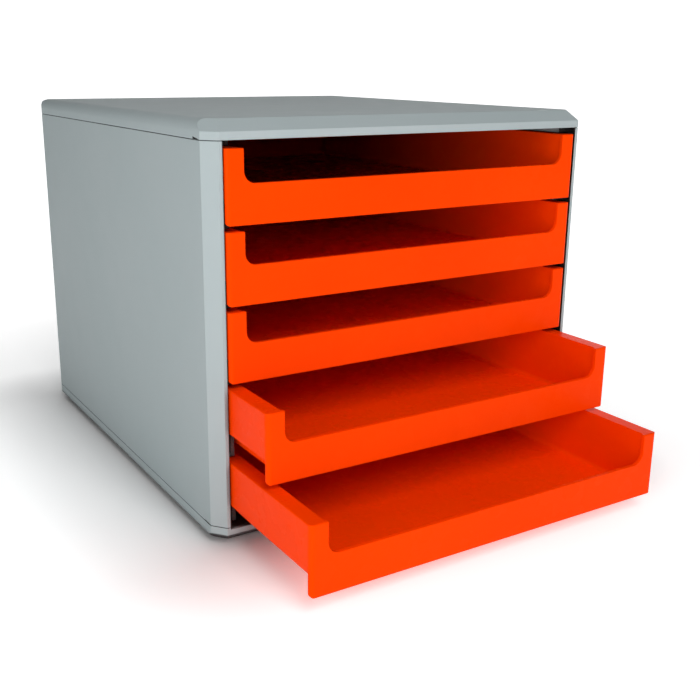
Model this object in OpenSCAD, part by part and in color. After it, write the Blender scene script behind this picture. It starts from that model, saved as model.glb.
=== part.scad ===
// Desktop file box: a plug-together plastic casing that holds five open-front
// drawers for A4 sheets, each running on box rails moulded inside the side panels.
//
// Frame: +X to the right, +Y to the back, +Z up. The origin is the centre of the
// casing's footprint at desk level. The fronts of the drawers face -Y.

/* [Casing] */
// Overall width of the casing
casing_w = 275; // [250:1:320]
// Overall depth of the casing
casing_d = 320; // [315:1:380]
// Wall thickness of the casing panels
wall = 2.5; // [2:0.1:3]
// Height of the top panel above its seam, and of the bottom panel below its own
cap_h = 11; // [10:0.5:16]
// Height of the upright lip under the front bevel of the top and bottom panels
lip_h = 4.5; // [3:0.5:6]
// How far the bevel over the top and bottom panels' front and front corners runs in
bevel_run = 8; // [6:0.5:12]
// Radius of the rounded side and back edges of the top and bottom panels
edge_r = 7; // [5:0.5:8]
// Width of the corner chamfer, seen from the front
corner_w = 7; // [5:0.5:10]
// Depth of the corner chamfer, seen from the side
corner_d = 8.5; // [7:0.5:14]
// Width of the flat front edge of the side panels
front_edge_w = 2.2; // [1.8:0.1:3]
// Radius of the upright back corners
back_corner_r = 8; // [6:0.5:10]
// How far the side panels return across the back
back_return_w = 14; // [12:0.5:20]
// Thickness of the stiffening ribs
rib_t = 1.6; // [1.2:0.1:2]
// How far the bottom panel's front lip stands below its seam
lip_recess = 1.2; // [0.4:0.1:2]
// Height of the shadow line along the seams
shadow_h = 0.4; // [0.2:0.1:0.8]
// Depth of the shadow line
shadow_d = 0.6; // [0.3:0.1:1]
// Length of the reliefs in the seams behind the front corners
relief_l = 9; // [5:0.5:12]
// Height of the top seam's relief at its back end, where it is highest
top_relief_h = 1.4; // [0.8:0.1:2]
// Height of the bottom seam's relief
bottom_relief_h = 0.8; // [0.5:0.1:1.5]

/* [Drawers] */
// Height from one drawer to the next
drawer_pitch = 45; // [43:0.5:60]
// Height of a drawer's front
front_h = 41.5; // [38:0.5:42]
// Thickness of a drawer's front
front_t = 2.5; // [2:0.1:3]
// How far the closed fronts stand proud of the casing
front_proud = 1.2; // [0.5:0.1:2]
// Gap between the top seam and the top drawer
top_gap = 4.3; // [3.5:0.1:8]
// Gap between the bottom drawer's front and the lip below it
bottom_gap = 0.4; // [0.3:0.1:2]
// Gap on each side of a drawer's front
side_gap = 1; // [0.6:0.1:1.5]
// Gap between a closed drawer and the back panel
back_gap = 1.5; // [1:0.1:4]
// Width of the flat rim round a drawer's sides and back
rim_w = 9.7; // [9:0.1:12]
// Thickness of the rim and of the skirt that hangs from it
rim_t = 2; // [1.6:0.1:2.4]
// Height of the skirt
skirt_h = 27; // [22:0.5:30]
// How far the tub's underside stands above the lower edge of the front
tub_lift = 2; // [1.6:0.1:8]
// Thickness of the tub's walls and floor
tub_t = 2; // [1.6:0.1:2.4]
// Outer radius of the tub's lower edges
tub_edge_r = 5; // [4:0.5:7]
// Outer radius of the tub's upright back corners
tub_corner_r = 6; // [4:0.5:10]
// Width of the posts left and right of the front's cut-out
post_w = 11; // [10.5:0.1:20]
// Depth of the front's cut-out
cutout_h = 19; // [14:0.5:26]
// Radius of the cut-out's lower corners
cutout_r = 7; // [4:0.5:9]
// Radius of the drawer's upright front edges
front_edge_r = 3; // [2:0.1:4]
// Radius of the drawer's upright back edges
back_edge_r = 6; // [4:0.5:8]
// Radius of the front's lower corners
front_corner_r = 2.5; // [1.5:0.1:4]
// Radius of the edge round the top of the rim
rim_edge_r = 0.8; // [0.4:0.1:1.4]

/* [Rails and stops] */
// Running clearance under the skirt
run_gap = 0.3; // [0.2:0.05:0.6]
// Clearance between the rim and the rail above it
guide_gap = 0.8; // [0.5:0.1:1.5]
// Clearance between the tub and the inner side of the rails
tub_gap = 1.6; // [1:0.1:2]
// Thickness of the rails' shelves
shelf_t = 2; // [1.6:0.1:2.4]
// Thickness of the rails' upright web
web_t = 2.4; // [1.6:0.1:2.6]
// How far the rails start behind the front of the casing
rail_setback = 8; // [6:0.5:16]
// How far a drawer can be pulled out
travel = 220; // [150:5:240]
// Length of the stop on each side of a drawer
stop_l = 6; // [4:0.5:10]
// How far the stop stands out from the skirt
stop_proud = 4; // [3:0.5:5]
// Height of the stop
stop_h = 9; // [6:0.5:12]

/* [Drawer positions] */
// How far drawer 4 stands open
open_4 = 44; // [0:1:140]
// How far drawer 5 stands open
open_5 = 90; // [0:1:140]

/* [Feet] */
// Diameter of a rubber foot
foot_d = 12; // [8:0.5:16]
// Thickness of a rubber foot
foot_t = 2.5; // [2:0.1:4]
// Depth of the seat that holds a foot
foot_seat = 1; // [0.6:0.1:1.4]
// Distance from the casing's sides, front and back to the centre of a foot
foot_inset = 22; // [18:1:40]

/* [Hidden] */
$fn = 96;

// Joins and cuts run past each other by this much
lap = 1;
// Clearance where the panels plug together
fit_gap = 0.3;

drawer_count = 5;
half_w = casing_w / 2;
front_y = -casing_d / 2;
back_y = casing_d / 2;
foot_proud = foot_t - foot_seat;
bottom_seam_z = foot_proud + cap_h;
side_h = top_gap + (drawer_count - 1) * drawer_pitch + front_h + bottom_gap - lip_recess;
top_seam_z = bottom_seam_z + side_h;
corner_l = sqrt(corner_w * corner_w + corner_d * corner_d);
bevel_rise = cap_h - lip_h;
bevel_l = sqrt(bevel_rise * bevel_rise + bevel_run * bevel_run);

// The back panel: how far it reaches into the back corners and into the top and
// bottom panels, and its clearance to the returns behind it
plate_reach = 0.4;
plate_seat = 3;
plate_gap = 0.2;
plate_back_y = back_y - wall - plate_gap;
plate_front_y = plate_back_y - wall;
plate_half_w = half_w - back_corner_r + plate_reach;

// The drawers
drawer_half_w = half_w - corner_w - front_edge_w - side_gap;
drawer_l = plate_front_y - back_gap - (front_y - front_proud);
tub_half_w = drawer_half_w - rim_w + tub_t;
tub_h = front_h - tub_lift;
gusset_h = 18;
gusset_count = 5;

// The rails
rail_inner_x = tub_half_w + tub_gap;
rail_front_y = front_y + rail_setback;
rail_back_y = plate_front_y - fit_gap;
// The stop meets the sloping inner face of the corner chamfer here
stop_x = drawer_half_w + stop_proud;
stop_meets_y = front_y + (stop_x - (drawer_half_w + side_gap)) * corner_d / corner_w;
stop_y = stop_meets_y + run_gap + travel + front_proud - front_y;
stop_top_z = -10;

// Plugs that join the side panels to the top and bottom panels
plug_l = 18;
plug_t = 2;
plug_h = 4.5;
plug_root_h = 8;
plug_count = 4;
plug_pitch = casing_d / plug_count;

// Stiffening ribs under the top panel and above the bottom one, and how far they
// end short of the panels' front and back edges
cap_rib_h = 4;
cap_rib_count = 4;
rib_half_w = rail_inner_x - fit_gap;
rib_end_gap = 11.6;
rib_half_l = casing_d / 2 - rib_end_gap;

casing_grey = [0.66, 0.71, 0.71];
drawer_orange = [1, 0.29, 0.04];
foot_black = [0.09, 0.09, 0.09];

// Height of the rim of drawer k, counted from the top
function rim_z(k) = top_seam_z - top_gap - (k - 1) * drawer_pitch;
// How far drawer k stands open
function open_by(k) = k == 4 ? open_4 : k == 5 ? open_5 : 0;
// Places of n copies, a pitch apart, centred on zero
function spread(n, pitch) = [for (i = [0 : n - 1]) (i - (n - 1) / 2) * pitch];

// Stands a flat profile up: its X runs along the model's X and its Y becomes Z
module across(length) {
    rotate([90, 0, 0]) linear_extrude(height = length, center = true) children();
}

// Stands a flat profile up: its X runs along the model's Y and its Y becomes Z
module along(length) {
    rotate([90, 0, 90]) linear_extrude(height = length, center = true) children();
}

// Outline with two upright sides and rounded upper corners, standing on zero
module arch(half, h, r) {
    translate([-half, 0]) square([2 * half, h - r]);
    translate([r - half, 0]) square([2 * (half - r), h]);
    for (s = [-1, 1]) translate([s * (half - r), h - r]) circle(r = r);
}

// Plan of the casing, drawn in by inset: chamfered front corners, round back ones
module casing_plan(inset = 0) {
    nose_x = half_w - corner_w - inset * (corner_l - corner_w) / corner_d;
    side_y = front_y + corner_d + inset * (corner_l - corner_d) / corner_w;
    edge_x = half_w - inset;
    round_y = back_y - back_corner_r;
    round_x = half_w - back_corner_r;
    polygon([
        [-nose_x, front_y + inset], [nose_x, front_y + inset], [edge_x, side_y],
        [edge_x, round_y], [-edge_x, round_y], [-edge_x, side_y]
    ]);
    translate([-round_x, 0]) square([2 * round_x, back_y - inset]);
    for (s = [-1, 1]) translate([s * round_x, round_y]) circle(r = back_corner_r - inset);
}

// Height of a bevel's plane at a given distance behind its edge, drawn in by inset
function bevel_z(run, inset) = lip_h + (run * bevel_rise - inset * bevel_l) / bevel_run;

// What a bevel takes off, seen from the side: its edge at zero, the body behind it
module bevel_wedge(inset) {
    run = 2 * bevel_run;
    polygon([[-lap, bevel_z(-lap, inset)], [run, bevel_z(run, inset)], [-lap, bevel_z(run, inset)]]);
}

// Side view of the top panel, drawn in by inset: bevelled front, rounded back edge
module cap_side_view(inset, low) {
    difference() {
        translate([0, low]) arch(back_y - inset, cap_h - inset - low, edge_r - inset);
        translate([front_y, 0]) bevel_wedge(inset);
    }
}

// A solid cap: the top panel's outer faces, drawn in by inset, from low up
module cap_solid(inset, low) {
    tall = cap_h - inset - low;
    difference() {
        intersection() {
            translate([0, 0, low]) linear_extrude(height = tall) casing_plan(inset);
            along(2 * casing_w) cap_side_view(inset, low);
            across(2 * casing_d) translate([0, low]) arch(half_w - inset, tall, edge_r - inset);
        }
        for (s = [0, 1]) mirror([s, 0, 0]) translate([half_w - corner_w, front_y, 0])
            rotate([0, 0, atan2(corner_d, corner_w)]) along(6 * corner_l) bevel_wedge(inset);
    }
}

// Walls that take one plug of a side panel, seen from above
module socket_plan() {
    pocket_x = half_w - wall - 2 * fit_gap - plug_t;
    pocket_half_l = plug_l / 2 + fit_gap;
    difference() {
        translate([pocket_x - rib_t, -pocket_half_l - rib_t])
            square([half_w - pocket_x, 2 * (pocket_half_l + rib_t)]);
        translate([pocket_x, -pocket_half_l]) square([half_w, 2 * pocket_half_l]);
    }
}

// Ribs that stiffen a cap, hold the plugs and keep the back panel in place
module cap_ribs() {
    under = cap_h - wall;
    for (x = spread(cap_rib_count, casing_w / (cap_rib_count + 1)))
        translate([x - rib_t / 2, -rib_half_l, under - cap_rib_h])
            cube([rib_t, 2 * rib_half_l, cap_rib_h + lap]);
    for (y = spread(plug_count, plug_pitch))
        translate([-rib_half_w, y - rib_t / 2, under - cap_rib_h])
            cube([2 * rib_half_w, rib_t, cap_rib_h + lap]);
    translate([-rib_half_w, plate_front_y - fit_gap - rib_t, fit_gap])
        cube([2 * rib_half_w, rib_t, under]);
    for (s = [-1, 1], y = spread(plug_count, plug_pitch))
        translate([0, y, fit_gap]) mirror([s < 0 ? 1 : 0, 0, 0])
            linear_extrude(height = under) socket_plan();
}

// Top panel, its seam at zero
module cap() {
    difference() {
        cap_solid(0, 0);
        difference() {
            cap_solid(wall, -lap);
            cap_ribs();
        }
    }
}

// Relief cut upwards from zero behind each front corner's fold, over the wall's thickness
module seam_relief(front_rise, back_rise) {
    translate([0, front_y + corner_d, 0]) difference() {
        along(casing_w + 2 * lap) polygon([
            [0, -lap], [relief_l, -lap], [relief_l, back_rise], [0, front_rise]
        ]);
        translate([wall + lap - half_w, -lap, -2 * lap])
            cube([2 * (half_w - wall - lap), relief_l + 2 * lap, back_rise + 4 * lap]);
    }
}

// Band cut from the side panels' outer faces along a seam
module shadow_line(z) {
    translate([0, 0, z]) linear_extrude(height = shadow_h + lap) difference() {
        square([2 * casing_w, 2 * casing_d], center = true);
        casing_plan(shadow_d);
    }
}

module top_panel() {
    color(casing_grey) translate([0, 0, top_seam_z]) difference() {
        cap();
        seam_relief(0, top_relief_h);
    }
}

// The top panel turned over, with a lower front lip and seats for the feet
module bottom_panel() {
    gap_half_w = half_w - corner_w - front_edge_w;
    color(casing_grey) translate([0, 0, bottom_seam_z]) mirror([0, 0, 1]) difference() {
        cap();
        translate([-gap_half_w, front_y - lap, -lap])
            cube([2 * gap_half_w, wall + 2 * lap, lip_recess + lap]);
        for (sx = [-1, 1], sy = [-1, 1])
            translate([sx * (half_w - foot_inset), sy * (back_y - foot_inset), cap_h - foot_seat])
                cylinder(d = foot_d + fit_gap, h = foot_seat + lap);
    }
}

// Plan of the left side panel: front edge, chamfer, side, back corner and return
module side_plan() {
    inner_w = corner_w + front_edge_w - wall;
    round_y = back_y - back_corner_r;
    polygon([
        [corner_w + front_edge_w - half_w, front_y], [corner_w - half_w, front_y],
        [-half_w, front_y + corner_d], [-half_w, round_y], [wall - half_w, round_y],
        [wall - half_w, front_y + inner_w * corner_d / corner_w]
    ]);
    translate([back_corner_r - half_w, round_y]) intersection() {
        difference() {
            circle(r = back_corner_r);
            circle(r = back_corner_r - wall);
        }
        translate([-back_corner_r, 0]) square(back_corner_r);
    }
    translate([back_corner_r - half_w, back_y - wall]) square([back_return_w - back_corner_r, wall]);
}

// One rail of the left panel: two shelves joined by a web, open at both ends
module rail(z0, z1, lower_shelf, upper_shelf) {
    length = rail_back_y - rail_front_y;
    shelf_w = half_w - wall + lap / 2 - rail_inner_x;
    translate([-rail_inner_x - web_t, rail_front_y, z0]) cube([web_t, length, z1 - z0]);
    translate([-rail_inner_x - shelf_w, rail_front_y, 0]) {
        if (lower_shelf) translate([0, 0, z0]) cube([shelf_w, length, shelf_t]);
        if (upper_shelf) translate([0, 0, z1 - shelf_t]) cube([shelf_w, length, shelf_t]);
    }
}

// One plug of the left panel, or the pad it grows from
module plug(y, z, thickness) {
    inner_x = wall + fit_gap + plug_t - half_w;
    translate([inner_x - thickness, y - plug_l / 2, z]) cube([thickness, plug_l, plug_root_h]);
}

// Left side panel with its rails, the slot for the back panel and the plugs
module side_panel() {
    translate([0, 0, bottom_seam_z]) linear_extrude(height = side_h) side_plan();
    for (k = [0 : drawer_count]) {
        z0 = k == drawer_count ? bottom_seam_z : rim_z(k + 1) + guide_gap;
        z1 = k == 0 ? top_seam_z : rim_z(k) - skirt_h - run_gap;
        rail(z0, z1, k < drawer_count, k > 0);
    }
    // upright rib in front of the back panel
    translate([wall - lap / 2 - half_w, rail_back_y - rib_t, bottom_seam_z])
        cube([corner_w + front_edge_w - wall, rib_t, side_h]);
    for (y = spread(plug_count, plug_pitch)) {
        plug(y, bottom_seam_z - plug_h, plug_t);
        plug(y, bottom_seam_z, plug_t + fit_gap + lap);
        plug(y, top_seam_z - plug_root_h, plug_t + fit_gap + lap);
        plug(y, top_seam_z + plug_h - plug_root_h, plug_t);
    }
}

module left_side_panel() {
    color(casing_grey) difference() {
        side_panel();
        shadow_line(top_seam_z - shadow_h);
        shadow_line(bottom_seam_z - lap);
        translate([0, 0, bottom_seam_z]) seam_relief(bottom_relief_h, bottom_relief_h);
    }
}

module right_side_panel() {
    mirror([1, 0, 0]) left_side_panel();
}

// Back panel: a plain plate held in slots on all four sides
module back_panel() {
    color(casing_grey) translate([-plate_half_w, plate_front_y, bottom_seam_z - plate_seat])
        cube([2 * plate_half_w, wall, side_h + 2 * plate_seat]);
}

// Outer faces of a drawer, its rim at zero and its front at y = 0
module drawer_envelope() {
    intersection() {
        across(3 * drawer_l) {
            translate([0, -front_h]) arch(drawer_half_w, front_h, rim_edge_r);
        }
        across(3 * drawer_l) mirror([0, 1]) arch(drawer_half_w, front_h, front_corner_r);
        along(3 * drawer_half_w) translate([drawer_l / 2, -front_h]) arch(drawer_l / 2, front_h, rim_edge_r);
        translate([0, 0, -front_h]) linear_extrude(height = front_h) drawer_plan(0);
    }
}

// Plan of a drawer, drawn in by inset
module drawer_plan(inset) {
    w = drawer_half_w - inset;
    r0 = front_edge_r;
    r1 = back_edge_r - inset;
    y1 = drawer_l - inset;
    translate([r0 - w, 0]) square([2 * (w - r0), lap + front_edge_r]);
    translate([-w, r0]) square([2 * w, y1 - r0 - r1]);
    translate([r1 - w, r0]) square([2 * (w - r1), y1 - r0]);
    for (s = [-1, 1]) {
        translate([s * (w - r0), r0]) circle(r = r0);
        translate([s * (w - r1), y1 - r1]) circle(r = r1);
    }
}

// Space filled by the tub: rounded lower edges and upright back corners
module tub_solid(inset) {
    w = tub_half_w - inset;
    y1 = drawer_l - rim_w + tub_t - inset;
    r = tub_edge_r - inset;
    rc = tub_corner_r - inset;
    h = tub_h - inset;
    intersection() {
        across(3 * drawer_l) mirror([0, 1]) arch(w, h, r);
        along(3 * w) mirror([0, 1]) {
            translate([front_t, 0]) square([y1 - front_t, h - r]);
            translate([front_t, 0]) square([y1 - front_t - r, h]);
            translate([y1 - r, h - r]) circle(r = r);
        }
        translate([0, 0, -h]) linear_extrude(height = h) {
            translate([-w, front_t]) square([2 * w, y1 - front_t - rc]);
            translate([rc - w, front_t]) square([2 * (w - rc), y1 - front_t]);
            for (s = [-1, 1]) translate([s * (w - rc), y1 - rc]) circle(r = rc);
        }
    }
}

// Front panel with its wide cut-out between two posts
module drawer_front() {
    opening_half_w = drawer_half_w - post_w;
    difference() {
        intersection() {
            drawer_envelope();
            translate([-drawer_half_w, -lap, -front_h - lap])
                cube([2 * drawer_half_w, front_t + lap, front_h + 2 * lap]);
        }
        across(4 * front_t) translate([0, lap]) mirror([0, 1]) arch(opening_half_w, cutout_h + lap, cutout_r);
    }
}

// Rim with the skirt that hangs from it, open over the tub
module drawer_rim() {
    difference() {
        intersection() {
            drawer_envelope();
            translate([-drawer_half_w, 0, -skirt_h])
                cube([2 * drawer_half_w, drawer_l, skirt_h + lap]);
        }
        intersection() {
            translate([0, 0, -front_h - lap]) linear_extrude(height = front_h + lap - rim_t)
                drawer_plan(rim_t);
            translate([-drawer_half_w, front_t, -front_h - lap])
                cube([2 * drawer_half_w, drawer_l, front_h + lap]);
        }
        translate([0, 0, lap]) tub_solid(tub_t);
        translate([-drawer_half_w + post_w, -lap, -skirt_h - lap])
            cube([2 * (drawer_half_w - post_w), front_t + 2 * lap, skirt_h + 3 * lap]);
    }
}

// Gussets between the tub and the skirt on each side
module drawer_gussets() {
    for (y = spread(gusset_count, drawer_l / (gusset_count + 1)))
        translate([lap - drawer_half_w, y + (drawer_l - rib_t) / 2, -gusset_h])
            cube([2 * (drawer_half_w - lap), rib_t, gusset_h - lap]);
}

// A whole drawer moulding, its rim at zero and its front at y = 0
module drawer_moulding() {
    drawer_front();
    drawer_rim();
    difference() {
        union() {
            tub_solid(0);
            drawer_gussets();
        }
        translate([0, 0, lap]) tub_solid(tub_t);
    }
    for (s = [-1, 1]) mirror([s < 0 ? 1 : 0, 0, 0])
        translate([drawer_half_w - lap, stop_y, stop_top_z - stop_h])
            cube([stop_proud + lap, stop_l, stop_h]);
}

// Drawer k where it stands at rest
module drawer(k) {
    color(drawer_orange) translate([0, front_y - front_proud - open_by(k), rim_z(k)])
        drawer_moulding();
}

module drawer_1() { drawer(1); }
module drawer_2() { drawer(2); }
module drawer_3() { drawer(3); }
module drawer_4() { drawer(4); }
module drawer_5() { drawer(5); }

// A rubber foot, seated in the bottom panel
module foot(side, end) {
    color(foot_black) translate([side * (half_w - foot_inset), end * (back_y - foot_inset), 0])
        cylinder(d = foot_d, h = foot_t);
}

module foot_front_left() { foot(-1, -1); }
module foot_front_right() { foot(1, -1); }
module foot_back_left() { foot(-1, 1); }
module foot_back_right() { foot(1, 1); }

top_panel();
bottom_panel();
left_side_panel();
right_side_panel();
back_panel();
drawer_1();
drawer_2();
drawer_3();
drawer_4();
drawer_5();
foot_front_left();
foot_front_right();
foot_back_left();
foot_back_right();
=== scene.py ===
"""Studio scene of a desktop file box with five sliding drawers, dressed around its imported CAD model."""

import math

import bpy
from mathutils import Matrix, Vector

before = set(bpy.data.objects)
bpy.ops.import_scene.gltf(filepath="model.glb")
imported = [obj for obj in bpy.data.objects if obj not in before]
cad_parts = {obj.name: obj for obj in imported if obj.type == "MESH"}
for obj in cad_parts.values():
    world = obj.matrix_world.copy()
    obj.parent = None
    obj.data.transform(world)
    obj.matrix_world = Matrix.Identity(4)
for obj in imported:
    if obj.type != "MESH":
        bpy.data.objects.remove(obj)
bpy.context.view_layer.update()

# ---------------------------------------------------------------- camera

# Solved from the photograph's edges: yaw to the right of +Y, pitch up, roll, place in metres, lens in millimetres
YAW, PITCH, ROLL = math.radians(31.418), math.radians(-15.916), math.radians(0.417)
CAMERA_AT = (-0.34784, -0.62912, 0.2767)
LENS = 49.37
SHIFT = (0.0298, -0.0176)

ahead = Vector((math.sin(YAW) * math.cos(PITCH), math.cos(YAW) * math.cos(PITCH), math.sin(PITCH)))
level = Vector((math.cos(YAW), -math.sin(YAW), 0))
upright = level.cross(ahead)
right = math.cos(ROLL) * level + math.sin(ROLL) * upright
up = -math.sin(ROLL) * level + math.cos(ROLL) * upright

camera_data = bpy.data.cameras.new("camera")
camera_data.sensor_width = 36
camera_data.lens = LENS
camera_data.shift_x, camera_data.shift_y = SHIFT
camera_data.clip_start = 0.01
camera_data.clip_end = 50
camera = bpy.data.objects.new("camera", camera_data)
camera.matrix_world = Matrix.Translation(CAMERA_AT) @ Matrix((right, up, -ahead)).transposed().to_4x4()
bpy.context.scene.collection.objects.link(camera)
bpy.context.scene.camera = camera

# ---------------------------------------------------------------- materials


class Nodes:
    """A material's node tree, built a node at a time."""

    def __init__(self, name):
        self.material = bpy.data.materials.new(name)
        self.material.use_nodes = True
        self.tree = self.material.node_tree
        self.tree.nodes.clear()
        self.shader = self.add("ShaderNodeBsdfPrincipled")
        out = self.add("ShaderNodeOutputMaterial")
        self.link(self.shader, "BSDF", out, "Surface")
        self.place = self.add("ShaderNodeTexCoord")

    def add(self, kind, **inputs):
        node = self.tree.nodes.new(kind)
        for key, value in inputs.items():
            node.inputs[key.replace("_", " ")].default_value = value
        return node

    def link(self, a, out, b, into):
        self.tree.links.new(a.outputs[out], b.inputs[into])

    def noise(self, scale, detail):
        """Noise over the object's own metres; scale is in features per metre."""
        node = self.add("ShaderNodeTexNoise", Scale=scale, Detail=detail)
        self.link(self.place, "Object", node, "Vector")
        return node

    def ramp(self, source, out, low, high, into_low, into_high):
        """Takes the output's range low..high to into_low..into_high."""
        node = self.add("ShaderNodeMapRange", From_Min=low, From_Max=high, To_Min=into_low, To_Max=into_high)
        self.link(source, out, node, "Value")
        return node

    def blend(self, factor, out, a, b):
        """Blends from colour a to colour b."""
        node = self.add("ShaderNodeMix")
        node.data_type = "RGBA"
        node.inputs["A"].default_value = (*a, 1)
        node.inputs["B"].default_value = (*b, 1)
        self.link(factor, out, node, "Factor")
        return node

    def tune(self, **inputs):
        """Sets constants directly on the shader's sockets."""
        for key, value in inputs.items():
            self.shader.inputs[key.replace("_", " ")].default_value = value


def colour_of(node):
    return next(s for s in node.outputs if s.type == "RGBA")


# Spread of the noise values that carries a blend from one end to the other
NOISE_LOW, NOISE_HIGH = 0.3, 0.7
# Open sky, from 0 to 1, between which the painted shade in recesses goes from full to none, and the colour of
# that painted shade
PAINTED_SHADE_FULL, PAINTED_SHADE_NONE = 0.40, 0.80
PAINTED_SHADE_COLOUR = (0.04, 0.035, 0.035)
# Features per metre of the slow changes of tone, of roughness and of the surface's waves
TONE_SCALE, ROUGHNESS_SCALE, WAVE_SCALE = 9, 60, 14
SHADER_SAMPLES = 6


def moulded_plastic(name, tones, roughness, grain, grain_depth, edge, sink, painted_shade_reach=None):
    """Injection-moulded plastic: drifting tone and roughness, fine grain, slight sink waves, softened edges and,
    where asked, painted shade in recesses.

    grain is in features per metre; grain_depth, edge, sink and the painted shade's reach are in metres.
    """
    m = Nodes(name)
    drift = m.ramp(m.noise(TONE_SCALE, 3), "Fac", NOISE_LOW, NOISE_HIGH, 0, 1)
    mixed = m.blend(drift, "Result", *tones)
    if painted_shade_reach:
        # Painted shade: darkens recesses, and places where two pieces nearly meet, in the base colour, where
        # shade falls
        open_sky = m.add("ShaderNodeAmbientOcclusion", Distance=painted_shade_reach)
        open_sky.samples = SHADER_SAMPLES
        unshaded = m.ramp(open_sky, "AO", PAINTED_SHADE_FULL, PAINTED_SHADE_NONE, 0, 1)
        painted_shade = m.blend(unshaded, "Result", PAINTED_SHADE_COLOUR, tones[0])
        m.tree.links.new(colour_of(mixed), painted_shade.inputs["B"])
        mixed = painted_shade
    m.tree.links.new(colour_of(mixed), m.shader.inputs["Base Color"])
    uneven = m.ramp(m.noise(ROUGHNESS_SCALE, 4), "Fac", NOISE_LOW, NOISE_HIGH, *roughness)
    m.link(uneven, "Result", m.shader, "Roughness")
    rounded = m.add("ShaderNodeBevel", Radius=edge)
    rounded.samples = SHADER_SAMPLES
    waves = m.add("ShaderNodeBump", Strength=1.0, Distance=sink)
    m.link(m.noise(WAVE_SCALE, 1), "Fac", waves, "Height")
    m.link(rounded, "Normal", waves, "Normal")
    bump = m.add("ShaderNodeBump", Strength=1.0, Distance=grain_depth)
    m.link(m.noise(grain, 2), "Fac", bump, "Height")
    m.link(waves, "Normal", bump, "Normal")
    m.link(bump, "Normal", m.shader, "Normal")
    return m


# The casing's base colour carries painted shade in its recesses and where pieces nearly meet
casing = moulded_plastic("casing_satin", ((0.350, 0.404, 0.412), (0.367, 0.416, 0.424)), roughness=(0.52, 0.60),
                         grain=1600, grain_depth=0.000010, edge=0.0007, sink=0.00005, painted_shade_reach=0.012)
casing.tune(IOR=1.5, Specular_IOR_Level=0.08)

drawer = moulded_plastic("drawer_gloss", ((1.0, 0.054, 0.0), (0.96, 0.047, 0.0)), roughness=(0.24, 0.30),
                         grain=1200, grain_depth=0.000005, edge=0.0006, sink=0.00002)
drawer.tune(IOR=1.5, Specular_IOR_Level=0.03, Specular_Tint=(1.0, 0.5, 0.3, 1.0))

rubber = moulded_plastic("foot_rubber", ((0.018, 0.018, 0.019), (0.026, 0.026, 0.027)), roughness=(0.7, 0.85),
                         grain=2500, grain_depth=0.00005, edge=0.0006, sink=0.0)
rubber.tune(Specular_IOR_Level=0.3)

# Material and record slot of the nodes whose names start with the word; the rest belong to the casing
FINISHES = {"drawer": (drawer, "drawer_plastic"), "foot": (rubber, "foot_rubber")}
for name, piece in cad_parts.items():
    finish, slot_name = FINISHES.get(name.split("_")[0], (casing, "casing_plastic"))
    for slot in piece.material_slots:
        slot.material = finish.material

# ---------------------------------------------------------------- floor and light

# A paper sweep, square to the camera: flat under the object, curved up behind it. Metres, across and away.
LEFT, RIGHT, NEAR, BEND_AT, BEND_R, TOP, BEND_STEPS = -1.8, 3.0, -4.0, 1.8, 1.2, 1.8, 32
profile = [(NEAR, 0.0)]
for i in range(BEND_STEPS + 1):
    turn = math.radians(90) * i / BEND_STEPS
    profile.append((BEND_AT + BEND_R * math.sin(turn), BEND_R * (1 - math.cos(turn))))
profile.append((BEND_AT + BEND_R, TOP))
points = []
for away, high in profile:
    for across in (LEFT, RIGHT):
        points.append((across * math.cos(YAW) + away * math.sin(YAW),
                       away * math.cos(YAW) - across * math.sin(YAW), high))
faces = [(2 * i, 2 * i + 1, 2 * i + 3, 2 * i + 2) for i in range(len(profile) - 1)]
sweep_mesh = bpy.data.meshes.new("sweep")
sweep_mesh.from_pydata(points, [], faces)
sweep_mesh.shade_smooth()
sweep = bpy.data.objects.new("sweep", sweep_mesh)
bpy.context.scene.collection.objects.link(sweep)

paper = Nodes("sweep_paper")
speckle = paper.blend(paper.noise(3, 3), "Fac", (0.88, 0.88, 0.88), (0.91, 0.91, 0.91))
paper.tree.links.new(colour_of(speckle), paper.shader.inputs["Base Color"])
paper.tune(Roughness=0.9, Specular_IOR_Level=0.1, Emission_Color=(1, 1, 1, 1))

# The paper glows, a painted light, more the further it lies outside the casing's footprint; near the casing it
# glows little, so the soft contact shadow there is partly cast by the lamps and partly painted shade
HALF_FOOTPRINT = (0.1375, 0.160, 0)
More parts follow.
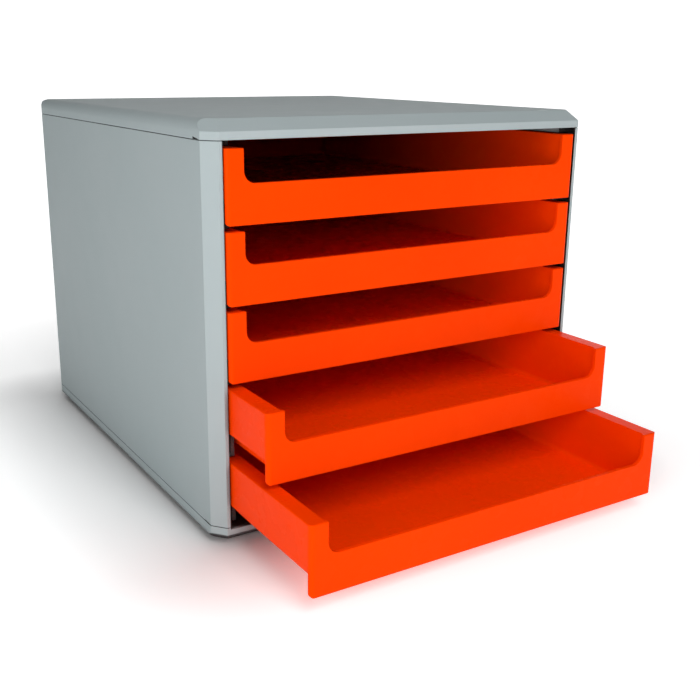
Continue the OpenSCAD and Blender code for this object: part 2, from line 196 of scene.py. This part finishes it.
# Each rise starts and ends at these distances in metres and adds this strength
PAINTED_GLOW_RISES = ((0.0, 0.08, 0.42), (0.05, 0.40, 0.45))
reach = paper.place, "Object"
for operation, vector in (("ABSOLUTE", (0, 0, 0)), ("SUBTRACT", HALF_FOOTPRINT),
                          ("MAXIMUM", (0, 0, 0)), ("LENGTH", (0, 0, 0))):
    step = paper.add("ShaderNodeVectorMath")
    step.operation = operation
    step.inputs[1].default_value = vector
    paper.link(*reach, step, 0)
    reach = step, "Vector"
painted_glow = paper.add("ShaderNodeMath")
painted_glow.operation = "ADD"
for socket, (start, end, strength) in enumerate(PAINTED_GLOW_RISES):
    paper.link(paper.ramp(step, "Value", start, end, 0.0, strength), "Result", painted_glow, socket)
paper.link(painted_glow, "Value", paper.shader, "Emission Strength")
sweep_mesh.materials.append(paper.material)


def softbox(name, place, target, side, power):
    """A square soft light; metres and watts."""
    data = bpy.data.lights.new(name, "AREA")
    data.shape = "RECTANGLE"
    data.size, data.size_y = side, side
    data.energy = power
    light = bpy.data.objects.new(name, data)
    light.location = place
    light.rotation_mode = "QUATERNION"
    light.rotation_quaternion = (Vector(target) - Vector(place)).to_track_quat("-Z", "Y")
    bpy.context.scene.collection.objects.link(light)


# Powers, like the dome's strength, were fitted to the photograph's tones and then adjusted
softbox("front", (-0.2, -1.2, 1.1), (0, -0.1, 0.15), side=0.8, power=11.2)
softbox("left", (-0.75, -0.60, 0.25), (-0.14, -0.16, 0.12), side=0.35, power=2.3)

# A dim dome, brightest overhead and dark at the horizon
OVERHEAD = 0.28
world = bpy.data.worlds.new("studio")
world.use_nodes = True
dome = world.node_tree
background = dome.nodes["Background"]
direction = dome.nodes.new("ShaderNodeTexCoord")
facing = dome.nodes.new("ShaderNodeVectorMath")
facing.operation = "DOT_PRODUCT"
facing.inputs[1].default_value = (0, 0, 1)
dome.links.new(direction.outputs["Generated"], facing.inputs[0])
falloff = dome.nodes.new("ShaderNodeMapRange")
falloff.inputs["To Max"].default_value = OVERHEAD
dome.links.new(facing.outputs["Value"], falloff.inputs["Value"])
background.inputs["Color"].default_value = (1, 1, 1, 1)
# Seen straight on, past the paper's edges, the room is white
seen = dome.nodes.new("ShaderNodeLightPath")
shown = dome.nodes.new("ShaderNodeMix")
shown.inputs["B"].default_value = 1.0
dome.links.new(seen.outputs["Is Camera Ray"], shown.inputs["Factor"])
dome.links.new(falloff.outputs["Result"], shown.inputs["A"])
dome.links.new(shown.outputs["Result"], background.inputs["Strength"])
bpy.context.scene.world = world
bpy.context.scene.view_settings.view_transform = "Standard"
